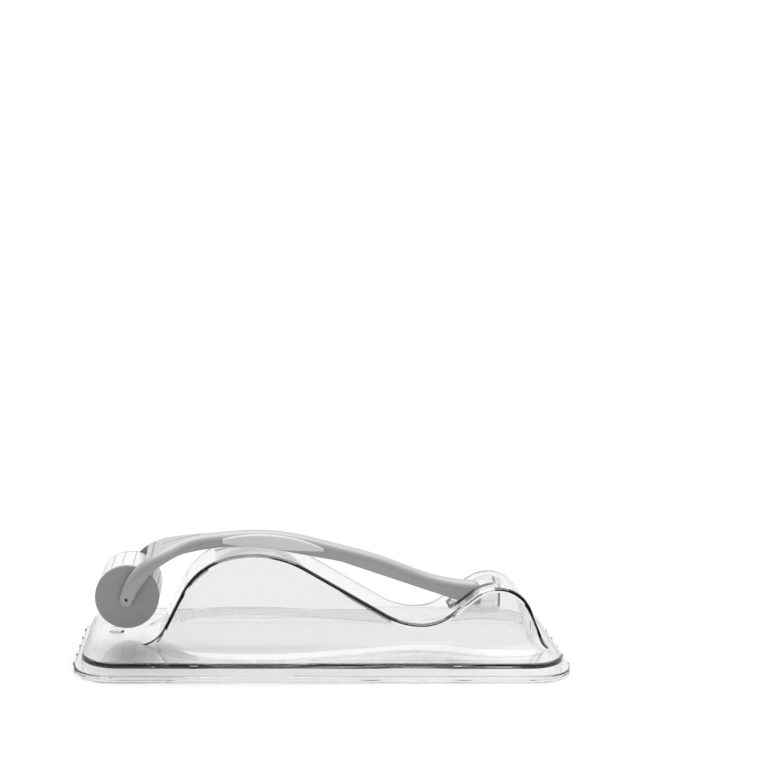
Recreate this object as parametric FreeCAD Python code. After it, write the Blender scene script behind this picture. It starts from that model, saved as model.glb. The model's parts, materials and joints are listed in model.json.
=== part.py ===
import FreeCAD, Part

import math
import os

from FreeCAD import Vector

# A derma roller lying in its clear storage stand.
#
# Millimetres. +X runs from the drum to the tail of the handle, +Z is up, and the origin is the
# centre of the stand's underside. "Near" parts lie at -Y and "far" parts at +Y. The object is
# symmetric about the plane Y = 0.
#
# Side outlines are traced as tangent lines and arcs that run towards +X, so "inset" moves them
# to their right, which is down into the material.

# Stand: the tray and its flange
WALL = 1.5
FLANGE_LENGTH = 154.2
FLANGE_WIDTH = 65.2
FLANGE_CORNER = 13.0
FLANGE_HEIGHT = 2.0
TRAY_LENGTH = 149.5
TRAY_WIDTH = 62.6
TRAY_CORNER = 12.0
RIM_Z = 5.6
RIM_BAND = 3.7
FLOOR_Z = 5.3
RIM_ROUND = 0.8
FLANGE_ROUND = 0.5

# Stand: the wave ridge
RIDGE_HALF_TOP = 11.5
RIDGE_SIDE_SLOPE = 0.45
RIDGE_FOOT_BLEND = 5.5
RIDGE_TRIM = 0.4
CREST_BEVEL = 0.55
CREST_BEVEL_SLOPE = 1.7
WAVE_START_X = -58.7
FOOT_SINK = 0.15

# Stand: what holds the roller
RIB_HALF_GAP = 4.4
RIB_THICKNESS = 1.2
POCKET_X0 = 41.0
POCKET_X1 = 56.0
POCKET_HALF_WIDTH = 4.5
POCKET_FLOOR_Z = 15.8
POCKET_CORNER = 2.0

# Stand: snap bumps, edge nubs and the gate boss
BUMP_X = 40.0
BUMP_LENGTH = 2.5
BUMP_RADIUS = 0.5
BUMP_Z = 4.5
NUB_RADIUS = 0.8
NUB_HEIGHT = 0.9
NUB_Z = 1.0
NUB_PITCH = 9.0
NUB_COUNT = 5
GATE_X = -65.8
GATE_Y = 3.0
GATE_RADIUS = 2.35
GATE_HEIGHT = 1.05
STUB_RADIUS = 0.4
STUB_HEIGHT = 0.25

# Roller: the axle and the drum
AXLE_X = -61.8
AXLE_Z = 20.2
DRUM_RADIUS = 10.0
DRUM_HALF_WIDTH = 10.1
DISC_THICKNESS = 1.3
DISC_ROUND = 0.5
BARREL_BORE_RADIUS = 6.5
FIT_GAP = 0.02
HUB_RADIUS = 1.6
HUB_HALF_LENGTH = 10.6
CORE_BORE_RADIUS = 0.56
PIN_RADIUS = 0.5
PIN_HALF_LENGTH = 11.7

# Roller: the needles
ROW_COUNT = 18
NEEDLES_PER_ROW = 9
NEEDLE_PITCH = 1.8
ROW_STAGGER = 0.45
NEEDLE_RADIUS = 0.12
NEEDLE_ROOT = 8.7
NEEDLE_SHOULDER = 10.02
NEEDLE_TIP = 10.28
SEAM_WIDTH = 0.3
SEAM_DEPTH = 0.1

# Roller: the handle
EYE_RADIUS = 2.1
ARM_OVERRUN = 6.0
ARM_INNER = 10.7
ARM_OUTER = 13.5
NECK_HALF_WIDTH = 3.6
NECK_X = -35.0
SHOULDER_X = -58.5
TAIL_X = 51.5
TAIL_CORNER = 3.0
TOP_ROUND = 2.6
UNDER_ROUND = 0.8
BAY_FRONT_X = -56.3
BAY_RADIUS = 11.3
BAY_CORNER = 1.5
LIP_GROOVE = (-54.5, -53.3)
SPINE_GROOVE = (-51.5, -39.5)
SPINE_GROOVE_WIDTH = 0.5
GROOVE_DEPTH = 0.3

# Roller: the grip pads
PAD_SEAT = 3.0
PAD_FACE = 4.0
PAD_BEVEL = 0.3
PAD_X0 = -32.3
PAD_X1 = 0.0
PAD_CORNER = 0.4


def line(length):
    return ("line", length)


def bend(radius, turn):
    """An arc; a positive turn in degrees goes to the left."""
    return ("bend", radius, turn)


def reach(u):
    """Straight on until the first coordinate is u."""
    return ("reach", u)


def drop(v):
    """Straight on until the second coordinate is v."""
    return ("drop", v)


WAVE = [
    bend(9.4, 64.4),
    line(12.3),
    bend(21.8, -49.2),
    bend(33.0, -44.8),
    line(30.0),
    bend(22.8, 29.6),
    bend(14.9, 38.3),
    line(9.7),
    bend(11.8, -107.3),
]
CREST_END_RADIUS = 3.0
SIDE_END_RADIUS = 12.0
WAVE_END_HEADING = sum(move[2] for move in WAVE if move[0] == "bend")

HANDLE_TOP_HEADING = 80.0
HANDLE_TOP = [
    bend(17.9, -53.2),
    bend(45.4, -21.0),
    line(10.0),
    bend(70.5, -19.7),
    line(15.0),
    bend(120.0, -7.1),
    line(6.0),
    bend(58.8, 16.3),
]

HANDLE_UNDER_HEADING = 67.3
HANDLE_UNDER = [
    bend(30.6, -15.1),
    bend(17.7, -45.0),
    line(9.0),
    bend(69.0, -17.1),
    line(19.0),
    bend(20.0, -8.4),
    line(36.9),
    bend(43.3, 4.5),
]


def side_point(u, v):
    return Vector(u, 0, v)


def plan_point(u, v):
    return Vector(u, v, 0)


def trace(point, start, heading, moves, inset=0.0):
    """Edges of a path of tangent lines and arcs, moved inset to its right."""
    angle = math.radians(heading)
    u = start[0] + inset * math.sin(angle)
    v = start[1] - inset * math.cos(angle)
    edges = []
    for move in moves:
        if move[0] == "bend":
            side = math.copysign(1.0, move[2])
            radius = move[1] + side * inset
            centre_u = u - side * radius * math.sin(angle)
            centre_v = v + side * radius * math.cos(angle)
            turn = math.radians(move[2])
            stops = []
            for share in (0.0, 0.5, 1.0):
                at = angle + share * turn
                stops.append((centre_u + side * radius * math.sin(at), centre_v - side * radius * math.cos(at)))
            edges.append(Part.Arc(*[point(*stop) for stop in stops]).toShape())
            u, v = stops[-1]
            angle += turn
        else:
            if move[0] == "line":
                length = move[1]
            elif move[0] == "reach":
                length = (move[1] - u) / math.cos(angle)
            else:
                length = (move[1] - v) / math.sin(angle)
            end_u = u + length * math.cos(angle)
            end_v = v + length * math.sin(angle)
            edges.append(Part.makeLine(point(u, v), point(end_u, end_v)))
            u, v = end_u, end_v
    return edges, (u, v)


def polyline(points):
    return [Part.makeLine(a, b) for a, b in zip(points, points[1:])]


def sweep(edges, direction):
    """The solid swept by a flat closed outline along a vector."""
    outline = Part.Wire(Part.__sortEdges__(edges))
    return Part.Face(outline).extrude(direction)


def centred_sweep(edges, half_width):
    """A side outline swept to both sides of the plane Y = 0."""
    solid = sweep(edges, Vector(0, 2 * half_width, 0))
    solid.translate(Vector(0, -half_width, 0))
    return solid


def box(x0, x1, y0, y1, z0, z1):
    return Part.makeBox(x1 - x0, y1 - y0, z1 - z0, Vector(x0, y0, z0))


def far_copy(shape):
    return shape.mirror(Vector(0, 0, 0), Vector(0, 1, 0))


def disc_at_axle(radius, y0, y1):
    """A cylinder on the axle's line from y0 to y1."""
    return Part.makeCylinder(radius, y1 - y0, Vector(AXLE_X, y0, AXLE_Z), Vector(0, 1, 0))


def rounded_slab(length, width, corner, z0, z1):
    """A flat slab centred on the origin, with round vertical corners."""
    slab = box(-length / 2, length / 2, -width / 2, width / 2, z0, z1)
    uprights = [e for e in slab.Edges if e.BoundBox.ZLength > 0.5 * (z1 - z0)]
    return slab.makeFillet(corner, uprights)


def edges_at_height(shape, z):
    return [e for e in shape.Edges if abs(e.BoundBox.ZMin - z) < 1e-4 and abs(e.BoundBox.ZMax - z) < 1e-4]


# The storage stand


def wave_outline(inset, end_radius, x_margin, depth):
    """The ridge's side view: the wave above a straight base, depth below the ridge's foot."""
    foot_z = FLOOR_Z - FOOT_SINK
    last_bend = bend(end_radius, -WAVE_END_HEADING)
    rise = end_radius * (1 - math.cos(math.radians(WAVE_END_HEADING)))
    # The straight run before the last bend ends where that bend reaches the foot.
    shift = inset * math.cos(math.radians(WAVE_END_HEADING))
    moves = [line(x_margin)] + WAVE + [drop(foot_z + rise - shift), last_bend, line(x_margin)]
    start = (WAVE_START_X - x_margin, foot_z)
    edges, end = trace(side_point, start, 0.0, moves, inset)
    low = foot_z - inset - depth
    corners = [end, (end[0], low), (start[0], low), (start[0], foot_z - inset)]
    return edges + polyline([side_point(*corner) for corner in corners])


def under_slanted_side(inset, slope, half_top):
    """All that lies under the wave's outline, swept down the slant of the ridge's near side."""
    margin = 30.0
    depth = 250.0
    reach_down = 60.0
    slant = Vector(0, slope, 1)
    block = sweep(wave_outline(inset, SIDE_END_RADIUS, margin, depth), slant * (4 * reach_down))
    block.translate(slant * -reach_down - Vector(0, half_top, 0))
    return block


def near_side_and_floor(inset, half_top):
    """The near side with the ground it stands on, blended into each other."""
    foot_z = FLOOR_Z - FOOT_SINK - inset
    block = under_slanted_side(inset, RIDGE_SIDE_SLOPE, half_top)
    block = block.fuse(box(-80, 80, -45, 45, foot_z - 250, foot_z)).removeSplitter()
    foot = []
    for edge in edges_at_height(block, foot_z):
        middle = edge.valueAt((edge.FirstParameter + edge.LastParameter) / 2)
        if abs(middle.x) < 79.9 and abs(middle.y) < 44.9:
            foot.append(edge)
    return block.makeFillet(RIDGE_FOOT_BLEND + inset, foot)


def ridge(inset):
    """The ridge as a block: under the wave, between drafted sides that blend into the floor."""
    side_angle = math.atan(RIDGE_SIDE_SLOPE)
    half_top = RIDGE_HALF_TOP - inset * (1 / math.cos(side_angle) - math.tan(side_angle))
    side = near_side_and_floor(inset, half_top)
    bevel = under_slanted_side(inset, CREST_BEVEL_SLOPE, half_top - CREST_BEVEL)
    block = centred_sweep(wave_outline(inset, CREST_END_RADIUS, 0.001, 2.0), TRAY_WIDTH / 2)
    for limit in (side, bevel):
        block = block.common(limit).common(far_copy(limit))
    trim = inset + RIDGE_TRIM
    inside_tray = rounded_slab(TRAY_LENGTH - 2 * trim, TRAY_WIDTH - 2 * trim, TRAY_CORNER - trim, -5, 60)
    return block.common(inside_tray)


def tray(inset):
    """The flange and the tray as solid slabs, without the floor's recess."""
    low = -inset
    flange = rounded_slab(
        FLANGE_LENGTH - 2 * inset, FLANGE_WIDTH - 2 * inset, FLANGE_CORNER - inset, low, FLANGE_HEIGHT - inset
    )
    top = (FLOOR_Z if inset else RIM_Z) - inset
    walls = rounded_slab(TRAY_LENGTH - 2 * inset, TRAY_WIDTH - 2 * inset, TRAY_CORNER - inset, low, top)
    if not inset:
        flange = flange.makeFillet(FLANGE_ROUND, edges_at_height(flange, FLANGE_HEIGHT))
        walls = walls.makeFillet(RIM_ROUND, edges_at_height(walls, RIM_Z))
    return flange.fuse(walls)


def floor_recess():
    """The floor lies a little lower than the band round the rim."""
    return rounded_slab(
        TRAY_LENGTH - 2 * RIM_BAND, TRAY_WIDTH - 2 * RIM_BAND, TRAY_CORNER - RIM_BAND, FLOOR_Z, RIM_Z + 1
    )


def tail_pocket(grow):
    """The slot in the small hump that takes the handle's tail, grown on its sides and floor."""
    half = POCKET_HALF_WIDTH + grow
    x0 = POCKET_X0 - grow
    x1 = POCKET_X1 + grow
    low = POCKET_FLOOR_Z - grow
    block = box(x0 + half, x1, -half, half, low, 40)
    corners = [e for e in block.Edges if e.BoundBox.ZLength > 5 and e.BoundBox.XMin > x1 - 1e-3]
    block = block.makeFillet(POCKET_CORNER + grow, corners)
    round_end = Part.makeCylinder(half, 40 - low, Vector(x0 + half, 0, low))
    return block.fuse(round_end).removeSplitter()


def saddle_rib():
    """A rib that stands beside the neck of the handle and runs out into the hump."""
    low_z = 28.0
    front = Vector(-34.7, 0, 34.0)
    top = Vector(-22.5, 0, 35.0)
    back = Vector(-6.5, 0, 29.4)
    edges = [Part.Arc(front, top, back).toShape()]
    edges += polyline([back, Vector(back.x, 0, low_z), Vector(front.x, 0, low_z), front])
    rib = sweep(edges, Vector(0, RIB_THICKNESS, 0))
    rib.translate(Vector(0, RIB_HALF_GAP, 0))
    return rib


def snap_bumps():
    """Short bumps that a lid snaps over, two on each long side."""
    bumps = []
    for x in (-BUMP_X, BUMP_X):
        for y in (-TRAY_WIDTH / 2, TRAY_WIDTH / 2):
            start = Vector(x - BUMP_LENGTH / 2, y, BUMP_Z)
            bumps.append(Part.makeCylinder(BUMP_RADIUS, BUMP_LENGTH, start, Vector(1, 0, 0)))
    return bumps


def edge_nubs():
    """Small upright nubs along both short edges of the flange."""
    nubs = []
    for end in (-1, 1):
        for index in range(NUB_COUNT):
            y = (index - (NUB_COUNT - 1) / 2) * NUB_PITCH
            x = end * (FLANGE_LENGTH / 2 - NUB_RADIUS / 2)
            nubs.append(Part.makeCylinder(NUB_RADIUS, NUB_HEIGHT, Vector(x, y, NUB_Z)))
    return nubs


def gate_boss():
    """The low round boss on the floor where the mould was filled, with the gate's stub on it."""
    foot_z = FLOOR_Z - WALL / 2
    top = Vector(GATE_X, GATE_Y, FLOOR_Z + GATE_HEIGHT)
    boss = Part.makeCylinder(GATE_RADIUS, top.z - foot_z, Vector(GATE_X, GATE_Y, foot_z))
    stub = Part.makeCylinder(STUB_RADIUS, STUB_HEIGHT, top)
    return boss.fuse(stub)


def storage_stand():
    outside = tray(0.0).cut(floor_recess())
    outside = outside.fuse([ridge(0.0), saddle_rib(), far_copy(saddle_rib())])
    outside = outside.fuse(snap_bumps() + edge_nubs() + [gate_boss()])
    outside = outside.cut(tail_pocket(0.0))
    hollow = tray(WALL).fuse(ridge(WALL)).cut(tail_pocket(WALL))
    return outside.cut(hollow).removeSplitter()


# The roller's handle


def handle_block(inset):
    """The handle's side view swept across its full width, its top lowered by inset."""
    paths = []
    for side, heading, moves, lowered in (
        (1, HANDLE_TOP_HEADING, HANDLE_TOP, inset),
        (-1, HANDLE_UNDER_HEADING, HANDLE_UNDER, 0.0),
    ):
        angle = math.radians(heading)
        # The arm's edge leaves the eye at a tangent, and starts a little before it.
        start_x = AXLE_X - side * EYE_RADIUS * math.sin(angle) - ARM_OVERRUN * math.cos(angle)
        start_z = AXLE_Z + side * EYE_RADIUS * math.cos(angle) - ARM_OVERRUN * math.sin(angle)
        moves = [line(ARM_OVERRUN)] + moves + [reach(TAIL_X)]
        paths.append(trace(side_point, (start_x, start_z), heading, moves, lowered))
    (top, top_end), (under, under_end) = paths
    tail = Part.makeLine(side_point(*top_end), side_point(*under_end))
    low_end = Part.makeLine(top[0].firstVertex().Point, under[0].firstVertex().Point)
    return centred_sweep(top + [tail] + under + [low_end], ARM_OUTER + 1)


def below_eye():
    """What lies past the round end of the fork's arms."""
    far = 30.0
    corners = [Vector(AXLE_X, 0, AXLE_Z)]
    for angle in (HANDLE_TOP_HEADING + 90, 225, 315, HANDLE_UNDER_HEADING - 90):
        corners.append(corners[0] + Vector(math.cos(math.radians(angle)), 0, math.sin(math.radians(angle))) * far)
    wedge = centred_sweep(polyline(corners + corners[:1]), ARM_OUTER + 1)
    return wedge.cut(disc_at_axle(EYE_RADIUS, -ARM_OUTER - 1, ARM_OUTER + 1))


def handle_plan():
    """The handle from above: a straight grip whose neck widens in an S-curve to the fork."""
    rise = ARM_OUTER - NECK_HALF_WIDTH
    run = NECK_X - SHOULDER_X
    turn = 2 * math.atan2(rise, run)
    radius = run / (2 * math.sin(turn))
    turn = math.degrees(turn)
    tip_x = AXLE_X - ARM_OVERRUN
    moves = [line(SHOULDER_X - tip_x), bend(radius, -turn), bend(radius, turn), reach(TAIL_X - TAIL_CORNER)]
    moves += [bend(TAIL_CORNER, -90.0), drop(0.0)]
    far_edges, end = trace(plan_point, (tip_x, ARM_OUTER), 0.0, moves)
    near_edges = [far_copy(edge) for edge in far_edges]
    front = Part.makeLine(plan_point(tip_x, ARM_OUTER), plan_point(tip_x, -ARM_OUTER))
    plan = sweep(far_edges + near_edges + [front], Vector(0, 0, 60))
    return plan


def long_edges(shape, upper):
    """The edges that run along the handle's upper side, or along its lower side."""
    found = []
    for edge in shape.Edges:
        middle = edge.valueAt((edge.FirstParameter + edge.LastParameter) / 2)
        faces = shape.ancestorsOfType(edge, Part.Face)
        normals = [face.normalAt(*face.Surface.parameter(middle)) for face in faces]
        past_eye = middle.x < AXLE_X and middle.z < AXLE_Z
        if past_eye or normals[0].getAngle(normals[-1]) < math.radians(20):
            continue
        steepest = max(normals, key=lambda normal: abs(normal.z))
        if (steepest.z > 0) == upper and abs(steepest.z) > 0.1:
            found.append(edge)
    return found


def drum_bay():
    """The space between the fork's arms that the drum turns in."""
    bay = box(AXLE_X - 20, BAY_FRONT_X, -ARM_INNER, ARM_INNER, 0, 60)
    corners = [e for e in bay.Edges if e.BoundBox.ZLength > 50 and e.BoundBox.XMin > BAY_FRONT_X - 1e-3]
    bay = bay.makeFillet(BAY_CORNER, corners)
    return bay.fuse(disc_at_axle(BAY_RADIUS, -ARM_INNER, ARM_INNER))


def web_grooves():
    """Shallow grooves in the top of the web: one behind its front lip, one along its middle."""
    lip = box(LIP_GROOVE[0], LIP_GROOVE[1], -ARM_OUTER, ARM_OUTER, 25, 50)
    half = SPINE_GROOVE_WIDTH / 2
    spine = box(SPINE_GROOVE[0], SPINE_GROOVE[1], -half, half, 25, 50)
    return lip.fuse(spine).cut(handle_block(GROOVE_DEPTH))


def handle():
    body = handle_block(0.0).common(handle_plan())
    body = body.makeFillet(TOP_ROUND, long_edges(body, True))
    body = body.makeFillet(UNDER_ROUND, long_edges(body, False))
    body = body.cut(below_eye())
    body = body.cut(drum_bay())
    body = body.cut(web_grooves())
    body = body.cut(disc_at_axle(PIN_RADIUS + FIT_GAP, -ARM_OUTER - 1, ARM_OUTER + 1))
    pad_block = pad_outline_sweep(PAD_SEAT, PAD_FACE + 1)
    return body.cut(pad_block).cut(far_copy(pad_block))


# The grip pads


def disc_through(low, middle, high, y0, y1):
    """A cylinder across the handle whose rim passes through three points of the side view."""
    circle = Part.Arc(side_point(*low), side_point(*middle), side_point(*high)).toShape().Curve
    start = Vector(circle.Center.x, y0, circle.Center.z)
    return Part.makeCylinder(circle.Radius, y1 - y0, start, Vector(0, 1, 0))


def pad_outline_sweep(depth, face):
    """The pad's eye-shaped outline on the near side, from one distance off the middle to another."""
    under_top = disc_through((-31.4, 37.6), (-18.0, 38.8), (-0.3, 34.6), -face, -depth)
    over_base = disc_through((-32.2, 35.8), (-14.6, 34.0), (-0.5, 33.5), -face, -depth)
    ends = box(PAD_X0, PAD_X1, -face, -depth, 30, 45)
    pad = under_top.common(over_base).common(ends)
    corners = [e for e in pad.Edges if abs(e.BoundBox.YLength - (face - depth)) < 1e-3 and e.BoundBox.XLength < 1e-3]
    return pad.makeFillet(PAD_CORNER, corners)


def near_grip_pad():
    pad = pad_outline_sweep(PAD_SEAT, PAD_FACE)
    rim = [e for e in pad.Edges if e.BoundBox.YMax < -PAD_FACE + 1e-3]
    return pad.makeChamfer(PAD_BEVEL, rim)


# The drum and its axle


def axle_pin():
    pin = disc_at_axle(PIN_RADIUS, -PIN_HALF_LENGTH, PIN_HALF_LENGTH)
    return pin.makeChamfer(0.15, [e for e in pin.Edges if e.BoundBox.YLength < 1e-3])


def drum_core():
    """The hub that turns on the pin; its ends stand proud as thrust faces."""
    body = disc_at_axle(BARREL_BORE_RADIUS - FIT_GAP, DISC_THICKNESS - DRUM_HALF_WIDTH, DRUM_HALF_WIDTH - DISC_THICKNESS)
    hub = disc_at_axle(HUB_RADIUS, -HUB_HALF_LENGTH, HUB_HALF_LENGTH)
    bore = disc_at_axle(CORE_BORE_RADIUS, -HUB_HALF_LENGTH - 1, HUB_HALF_LENGTH + 1)
    return body.fuse(hub).cut(bore)


def near_end_disc():
    inner_y = DISC_THICKNESS - DRUM_HALF_WIDTH
    disc = disc_at_axle(DRUM_RADIUS, -DRUM_HALF_WIDTH, inner_y)
    rim = [e for e in disc.Edges if e.BoundBox.YMax < -DRUM_HALF_WIDTH + 1e-3]
    disc = disc.makeFillet(DISC_ROUND, rim)
    return disc.cut(disc_at_axle(HUB_RADIUS + FIT_GAP, -DRUM_HALF_WIDTH - 1, inner_y + 1))


def around_axle(shape, index):
    """A shape made above the axle, turned to the place of one needle row."""
    turned = shape.copy()
    turned.rotate(Vector(AXLE_X, 0, AXLE_Z), Vector(0, 1, 0), (index + 0.5) * 360.0 / ROW_COUNT)
    return turned


def needle_places(index):
    """Distances along the axle of one row's needles; rows are staggered in turn."""
    stagger = ROW_STAGGER if index % 2 else -ROW_STAGGER
    first = -NEEDLE_PITCH * (NEEDLES_PER_ROW - 1) / 2
    return [first + stagger + count * NEEDLE_PITCH for count in range(NEEDLES_PER_ROW)]


def drum_barrel():
    half = DRUM_HALF_WIDTH - DISC_THICKNESS
    barrel = disc_at_axle(DRUM_RADIUS, -half, half).cut(disc_at_axle(BARREL_BORE_RADIUS, -half, half))
    cutters = []
    for index in range(ROW_COUNT):
        seam = box(
            AXLE_X - SEAM_WIDTH / 2,
            AXLE_X + SEAM_WIDTH / 2,
            -half - 1,
            half + 1,
            AXLE_Z + DRUM_RADIUS - SEAM_DEPTH,
            AXLE_Z + DRUM_RADIUS + 1,
        )
        cutters.append(around_axle(seam, index))
        for y in needle_places(index):
            root = Vector(AXLE_X, y, AXLE_Z + NEEDLE_ROOT)
            hole = Part.makeCylinder(NEEDLE_RADIUS + FIT_GAP / 2, DRUM_RADIUS - NEEDLE_ROOT + 1, root)
            cutters.append(around_axle(hole, index))
    return barrel.cut(cutters)


def needle_row(index):
    needles = []
    for y in needle_places(index):
        root = Vector(AXLE_X, y, AXLE_Z + NEEDLE_ROOT)
        shank = Part.makeCylinder(NEEDLE_RADIUS, NEEDLE_SHOULDER - NEEDLE_ROOT, root)
        shoulder = Vector(AXLE_X, y, AXLE_Z + NEEDLE_SHOULDER)
        point = Part.makeCone(NEEDLE_RADIUS, NEEDLE_RADIUS / 6, NEEDLE_TIP - NEEDLE_SHOULDER, shoulder)
        needles.append(around_axle(shank.fuse(point), index))
    return Part.makeCompound(needles)


def save(name, shape):
    if not shape.isValid():
        raise RuntimeError(name + " is not a valid solid")
    shape.exportStep(os.path.join("parts", name + ".step"))
    print(name, len(shape.Solids), "solids", round(shape.Volume, 2), "mm3")


def main():
    os.makedirs("parts", exist_ok=True)
    save("storage_stand", storage_stand())
    save("handle", handle())
    save("near_grip_pad", near_grip_pad())
    save("far_grip_pad", far_copy(near_grip_pad()))
    save("axle_pin", axle_pin())
    save("drum_barrel", drum_barrel())
    save("drum_core", drum_core())
    save("near_end_disc", near_end_disc())
    save("far_end_disc", far_copy(near_end_disc()))
    for index in range(ROW_COUNT):
        save("needle_row_%02d" % (index + 1), needle_row(index))


main()
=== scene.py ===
import json
import math

import bpy
from mathutils import Matrix, Vector


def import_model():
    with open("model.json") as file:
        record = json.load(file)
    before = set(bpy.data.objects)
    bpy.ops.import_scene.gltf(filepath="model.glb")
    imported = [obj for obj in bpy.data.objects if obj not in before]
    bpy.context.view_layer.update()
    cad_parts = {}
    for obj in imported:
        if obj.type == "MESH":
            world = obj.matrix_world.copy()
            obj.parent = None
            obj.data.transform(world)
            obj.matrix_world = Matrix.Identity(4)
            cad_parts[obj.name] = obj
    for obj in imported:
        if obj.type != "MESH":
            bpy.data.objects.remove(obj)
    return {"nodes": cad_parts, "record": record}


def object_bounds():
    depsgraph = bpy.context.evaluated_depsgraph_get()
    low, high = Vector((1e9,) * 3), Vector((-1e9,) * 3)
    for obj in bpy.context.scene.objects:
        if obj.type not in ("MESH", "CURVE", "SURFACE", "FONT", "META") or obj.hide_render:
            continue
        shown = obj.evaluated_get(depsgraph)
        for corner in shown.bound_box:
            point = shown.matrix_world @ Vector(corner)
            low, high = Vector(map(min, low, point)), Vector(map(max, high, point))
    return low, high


# The looks of a derma roller lying in its clear storage stand.
#
# Metres, in the frame of the CAD model: +X runs from the drum to the tail of the handle, +Z is up.

MM = 0.001

# The camera, fitted to the photograph
CAMERA_OFFSET = Vector((-27.0, -485.9, 130.2)) * MM  # from the middle of the CAD box
CAMERA_YAW = math.radians(3.84)
CAMERA_PITCH = math.radians(-4.49)
CAMERA_ROLL = math.radians(1.23)
CAMERA_LENS = 71.95
CAMERA_SENSOR = 36.0
CAMERA_SHIFT = (0.05, -0.10)
CAMERA_CLIP = (0.01, 20.0)

# The floor, a sheet of paper just under the stand
FLOOR_SIZE = 1.4
FLOOR_DROP = 0.1 * MM
FLOOR_COLOUR = (0.79, 0.79, 0.79)
FLOOR_FIBRES = 2500.0  # per metre
FLOOR_TINT = (0.99, 1.01)

# The overhead lamp
OVERHEAD_STRENGTH = 2.8
OVERHEAD_SPREAD = math.radians(60)
OVERHEAD_TILT = math.radians(-20)

# The room's brightness: low down and in front, for matt surfaces, and for the camera
LOW_LIGHT = 0.12
AMBIENT = 0.52
BACKDROP = 1.1

# The room turns from dark to white as a direction's height, plus this share of its lean to the back, grows
BACK_SHARE = 0.8
DARK_BELOW = 0.1
WHITE_ABOVE = 0.6

# Bounces, enough for light to cross every wall of the stand
LIGHT_BOUNCES = 24

# The band that most values of a noise texture lie in
NOISE_BAND = (0.3, 0.7)

# Moulded plastic
PLASTIC_IOR = 1.5
CLOUDS = 90.0  # slow changes of colour and gloss, per metre
CLOUD_TINT = (0.97, 1.03)
CLOUD_GLOSS = (0.9, 1.1)
COAT_ROUGHNESS = 0.3

# Clear plastic
CLEAR_COLOUR = (0.96, 0.96, 0.96)
CLEAR_IOR = 1.57
CLEAR_SMEARS = 300.0  # per metre
CLEAR_ROUGHNESS = (0.01, 0.04)
CLEAR_DENSITY = 20.0  # how fast it dims light, per metre
SOFT_LIGHT_KEPT = (0.965, 0.965, 0.965)

# Steel
STEEL_COLOUR = (0.62, 0.62, 0.64)
STEEL_SCRATCHES = 9000.0  # per metre
STEEL_STRETCH = (1.0, 0.1, 1.0)
STEEL_ROUGHNESS = (0.2, 0.4)


def new_material(name):
    """A plain Principled material: (material, nodes, links, shader)."""
    material = bpy.data.materials.new(name)
    material.use_nodes = True
    nodes = material.node_tree.nodes
    return material, nodes, material.node_tree.links, nodes["Principled BSDF"]


def noise(nodes, links, scale, detail=3.0, stretch=(1.0, 1.0, 1.0)):
    """A noise texture in the object's own metres; scale is in features per metre."""
    place = nodes.new("ShaderNodeTexCoord")
    mapping = nodes.new("ShaderNodeMapping")
    mapping.inputs["Scale"].default_value = stretch
    texture = nodes.new("ShaderNodeTexNoise")
    texture.inputs["Scale"].default_value = scale
    texture.inputs["Detail"].default_value = detail
    links.new(place.outputs["Object"], mapping.inputs["Vector"])
    links.new(mapping.outputs["Vector"], texture.inputs["Vector"])
    return texture.outputs["Fac"]


def spread(nodes, links, value, low, high):
    """Maps a noise value to the range from low to high."""
    ramp = nodes.new("ShaderNodeMapRange")
    ramp.inputs["From Min"].default_value = NOISE_BAND[0]
    ramp.inputs["From Max"].default_value = NOISE_BAND[1]
    ramp.inputs["To Min"].default_value = low
    ramp.inputs["To Max"].default_value = high
    links.new(value, ramp.inputs["Value"])
    return ramp.outputs["Result"]


def bump(nodes, links, height, distance):
    """A surface normal tilted as if the height stood up to that distance proud."""
    node = nodes.new("ShaderNodeBump")
    node.inputs["Strength"].default_value = 1.0
    node.inputs["Distance"].default_value = distance
    links.new(height, node.inputs["Height"])
    return node.outputs["Normal"]


def tint(nodes, links, colour, value, low, high):
    """The colour, made a little darker or lighter by a noise value."""
    mix = nodes.new("ShaderNodeMix")
    mix.data_type = "RGBA"
    mix.blend_type = "MULTIPLY"
    mix.inputs["Factor"].default_value = 1.0
    mix.inputs["A"].default_value = (*colour, 1.0)
    links.new(spread(nodes, links, value, low, high), mix.inputs["B"])
    return mix.outputs["Result"]


def moulded_plastic(name, colour, roughness, grain, grain_depth, sheen=0.0, coat=0.0):
    """Moulded plastic with a fine eroded grain (per metre), and a slow change of colour and gloss."""
    material, nodes, links, shader = new_material(name)
    clouds = noise(nodes, links, CLOUDS)
    fine = noise(nodes, links, grain, detail=4.0)
    gloss = spread(nodes, links, clouds, roughness * CLOUD_GLOSS[0], roughness * CLOUD_GLOSS[1])
    links.new(tint(nodes, links, colour, clouds, *CLOUD_TINT), shader.inputs["Base Color"])
    links.new(gloss, shader.inputs["Roughness"])
    links.new(bump(nodes, links, fine, grain_depth), shader.inputs["Normal"])
    shader.inputs["IOR"].default_value = PLASTIC_IOR
    shader.inputs["Sheen Weight"].default_value = sheen
    shader.inputs["Coat Weight"].default_value = coat
    shader.inputs["Coat Roughness"].default_value = COAT_ROUGHNESS
    return material


def grey_plastic():
    """The handle: satin, with a thin gloss on top."""
    return moulded_plastic(
        "grey_plastic",
        colour=(0.37, 0.37, 0.375),
        roughness=0.4,
        grain=5000.0,
        grain_depth=0.01 * MM,
        coat=0.55,
    )


def disc_plastic():
    """The drum's end discs: darker, with a deeper and coarser grain."""
    return moulded_plastic(
        "disc_plastic",
        colour=(0.31, 0.31, 0.315),
        roughness=0.5,
        grain=3000.0,
        grain_depth=0.07 * MM,
    )


def pad_plastic():
    """The grip pads: pale and soft."""
    return moulded_plastic(
        "pad_plastic",
        colour=(0.74, 0.74, 0.74),
        roughness=0.5,
        grain=7000.0,
        grain_depth=0.008 * MM,
        sheen=0.1,
    )


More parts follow.
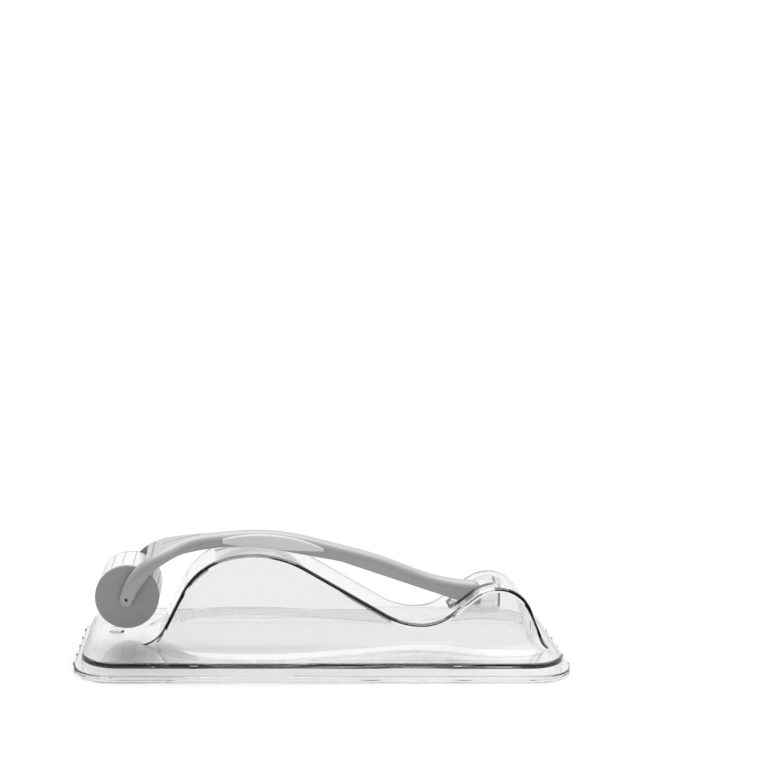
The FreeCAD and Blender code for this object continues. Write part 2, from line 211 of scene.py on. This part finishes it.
def white_plastic():
    """The drum: smooth and white."""
    return moulded_plastic(
        "white_plastic",
        colour=(0.69, 0.69, 0.69),
        roughness=0.3,
        grain=4000.0,
        grain_depth=0.006 * MM,
    )


def let_soft_light_through(nodes, links, shader):
    """Shadow and diffuse rays go straight through, a little dimmed, where glass would bend or stop them."""
    rays = nodes.new("ShaderNodeLightPath")
    soft = nodes.new("ShaderNodeMath")
    soft.operation = "MAXIMUM"
    links.new(rays.outputs["Is Shadow Ray"], soft.inputs[0])
    links.new(rays.outputs["Is Diffuse Ray"], soft.inputs[1])
    passed = nodes.new("ShaderNodeBsdfTransparent")
    passed.inputs["Color"].default_value = (*SOFT_LIGHT_KEPT, 1.0)
    either = nodes.new("ShaderNodeMixShader")
    links.new(soft.outputs["Value"], either.inputs["Fac"])
    links.new(shader.outputs["BSDF"], either.inputs[1])
    links.new(passed.outputs["BSDF"], either.inputs[2])
    links.new(either.outputs["Shader"], nodes["Material Output"].inputs["Surface"])


def dim_inside(nodes, links):
    """Light that runs a long way inside the plastic, as it does along the rims, comes out darker."""
    body = nodes.new("ShaderNodeVolumeAbsorption")
    body.inputs["Color"].default_value = (0.0, 0.0, 0.0, 1.0)
    body.inputs["Density"].default_value = CLEAR_DENSITY
    links.new(body.outputs["Volume"], nodes["Material Output"].inputs["Volume"])


def clear_plastic():
    """The stand: clear and polished, with faint smears in its gloss."""
    material, nodes, links, shader = new_material("clear_plastic")
    smears = noise(nodes, links, CLEAR_SMEARS)
    links.new(spread(nodes, links, smears, *CLEAR_ROUGHNESS), shader.inputs["Roughness"])
    shader.inputs["Base Color"].default_value = (*CLEAR_COLOUR, 1.0)
    shader.inputs["IOR"].default_value = CLEAR_IOR
    shader.inputs["Transmission Weight"].default_value = 1.0
    let_soft_light_through(nodes, links, shader)
    dim_inside(nodes, links)
    return material


def steel():
    """The needles and the axle pin: ground, with scratches drawn out across the object."""
    material, nodes, links, shader = new_material("steel")
    scratches = noise(nodes, links, STEEL_SCRATCHES, stretch=STEEL_STRETCH)
    shader.inputs["Base Color"].default_value = (*STEEL_COLOUR, 1.0)
    shader.inputs["Metallic"].default_value = 1.0
    links.new(spread(nodes, links, scratches, *STEEL_ROUGHNESS), shader.inputs["Roughness"])
    return material


def dress(frame):
    """Gives every CAD node the material of its slot in the record."""
    made = {
        "clear_plastic": clear_plastic(),
        "grey_plastic": grey_plastic(),
        "disc_plastic": disc_plastic(),
        "pad_plastic": pad_plastic(),
        "white_plastic": white_plastic(),
        "steel": steel(),
    }
    for part in frame["record"]["subparts"]:
        node = frame["nodes"][part["node"]]
        node.data.materials.clear()
        node.data.materials.append(made[part["material_slot"]])


def floor():
    """A plain sheet of matt pale paper."""
    bpy.ops.mesh.primitive_plane_add(size=FLOOR_SIZE, location=(0.0, 0.0, -FLOOR_DROP))
    plane = bpy.context.object
    plane.name = "floor"
    material, nodes, links, shader = new_material("floor_paper")
    fibres = noise(nodes, links, FLOOR_FIBRES)
    links.new(tint(nodes, links, FLOOR_COLOUR, fibres, *FLOOR_TINT), shader.inputs["Base Color"])
    shader.inputs["Roughness"].default_value = 1.0
    shader.inputs["Specular IOR Level"].default_value = 0.0
    plane.data.materials.append(material)


def overhead_light():
    """One very wide soft light from above and a little behind, the same over the whole floor."""
    light = bpy.data.lights.new("overhead", "SUN")
    light.energy = OVERHEAD_STRENGTH
    light.angle = OVERHEAD_SPREAD
    lamp = bpy.data.objects.new("overhead", light)
    lamp.rotation_euler = (OVERHEAD_TILT, 0.0, 0.0)
    # Shadow rays already bring this light through the clear plastic.
    lamp.visible_transmission = False
    bpy.context.scene.collection.objects.link(lamp)


def room_glow(nodes, links):
    """White where a direction is high up or well to the back, dark low down on the camera's side."""
    place = nodes.new("ShaderNodeTexCoord")
    axes = nodes.new("ShaderNodeSeparateXYZ")
    links.new(place.outputs["Generated"], axes.inputs["Vector"])
    rise = nodes.new("ShaderNodeMath")
    rise.operation = "MULTIPLY_ADD"
    rise.inputs[1].default_value = BACK_SHARE
    links.new(axes.outputs["Y"], rise.inputs[0])
    links.new(axes.outputs["Z"], rise.inputs[2])
    glow = nodes.new("ShaderNodeMapRange")
    glow.interpolation_type = "SMOOTHSTEP"
    glow.inputs["From Min"].default_value = DARK_BELOW
    glow.inputs["From Max"].default_value = WHITE_ABOVE
    glow.inputs["To Min"].default_value = LOW_LIGHT
    glow.inputs["To Max"].default_value = 1.0
    links.new(rise.outputs["Value"], glow.inputs["Value"])
    return glow.outputs["Result"]


def level_for(nodes, links, kind, level, otherwise):
    """The level for rays of one kind, and the other value for all the rest."""
    rays = nodes.new("ShaderNodeLightPath")
    mix = nodes.new("ShaderNodeMix")
    mix.inputs["B"].default_value = level
    links.new(rays.outputs[kind], mix.inputs["Factor"])
    links.new(otherwise, mix.inputs["A"])
    return mix.outputs["Result"]


def world():
    """The room: even for matt surfaces, white for the camera, and graded where it is reflected."""
    made = bpy.data.worlds.new("studio")
    bpy.context.scene.world = made
    made.use_nodes = True
    nodes = made.node_tree.nodes
    links = made.node_tree.links
    lit = level_for(nodes, links, "Is Diffuse Ray", AMBIENT, room_glow(nodes, links))
    seen = level_for(nodes, links, "Is Camera Ray", BACKDROP, lit)
    background = nodes["Background"]
    background.inputs["Color"].default_value = (1.0, 1.0, 1.0, 1.0)
    links.new(seen, background.inputs["Strength"])


def camera(middle):
    """The photograph's camera, placed from the middle of the object."""
    made = bpy.data.cameras.new("camera")
    made.lens = CAMERA_LENS
    made.sensor_width = CAMERA_SENSOR
    made.shift_x, made.shift_y = CAMERA_SHIFT
    made.clip_start, made.clip_end = CAMERA_CLIP
    holder = bpy.data.objects.new("camera", made)
    turn = Matrix.Rotation(-CAMERA_YAW, 4, "Z")
    turn @= Matrix.Rotation(math.pi / 2 + CAMERA_PITCH, 4, "X")
    turn @= Matrix.Rotation(CAMERA_ROLL, 4, "Z")
    holder.matrix_world = Matrix.Translation(middle + CAMERA_OFFSET) @ turn
    bpy.context.scene.collection.objects.link(holder)
    bpy.context.scene.camera = holder


def tones_and_bounces():
    """Plain tones, and light that reaches through the whole stand."""
    scene = bpy.context.scene
    scene.view_settings.view_transform = "Standard"
    scene.cycles.max_bounces = LIGHT_BOUNCES
    scene.cycles.transmission_bounces = LIGHT_BOUNCES
    scene.cycles.transparent_max_bounces = LIGHT_BOUNCES


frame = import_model()
cad_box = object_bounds()

dress(frame)
floor()
overhead_light()
world()
camera((cad_box[0] + cad_box[1]) / 2)
tones_and_bounces()
